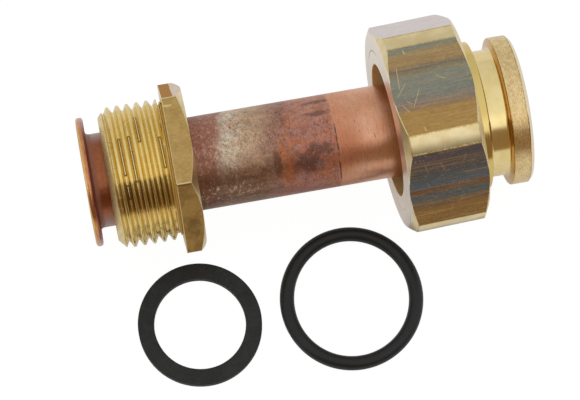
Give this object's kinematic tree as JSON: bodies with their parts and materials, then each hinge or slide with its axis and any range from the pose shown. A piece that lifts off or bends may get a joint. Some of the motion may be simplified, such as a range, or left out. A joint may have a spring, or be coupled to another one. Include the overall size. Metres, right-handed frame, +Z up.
{
  "type": "pipe connection set",
  "caption": "Short flanged copper pipe with a loose externally threaded nut, a loose union nut on a grooved brass spigot, and two loose rubber seals.",
  "frame": {"origin": "centre of the flange's sealing face, on the tube's axis", "axes": "+X along the tube from the flange to the spigot, +Z up from the table that the nuts and seals lie on"},
  "size_m": [0.1029, 0.0755, 0.0458],
  "materials": {
    "copper": "drawn copper, heat-stained and finely scratched",
    "polished_brass": "bright turned",
    "solder": "dull",
    "thread_brass": "bright, fresh from the die",
    "tinted_brass": "brushed flats with heat-tinted stripes, turned corners bright",
    "gasket_fibre": "matt",
    "rubber": "satin"
  },
  "bodies": {
    "pipe": {"copper_tube": "copper", "spigot": "polished_brass", "solder_ring": "solder"},
    "male_nut": {"male_nut": "thread_brass"},
    "union_nut": {"union_nut": "tinted_brass"},
    "flat_gasket": {"flat_gasket": "gasket_fibre"},
    "o_ring": {"o_ring": "rubber"}
  },
  "joints": [
    {"name": "male_nut_slide", "type": "slide", "parent": "pipe", "child": "male_nut", "axis": [1, 0, 0], "range_m": [-0.0035, 0.0449]},
    {"name": "union_nut_turn", "type": "hinge", "parent": "pipe", "child": "union_nut", "pos_m": [0.0804, -0.0011, 0.00425], "axis": [0.9994, 0.0349, 0], "continuous": true},
    {"name": "flat_gasket_lift", "type": "slide", "parent": "pipe", "child": "flat_gasket", "axis": [0, -0.7071, 0.7071], "range_m": [0, 0.06]},
    {"name": "o_ring_lift", "type": "slide", "parent": "pipe", "child": "o_ring", "axis": [0, -0.7071, 0.7071], "range_m": [0, 0.06]}
  ]
}
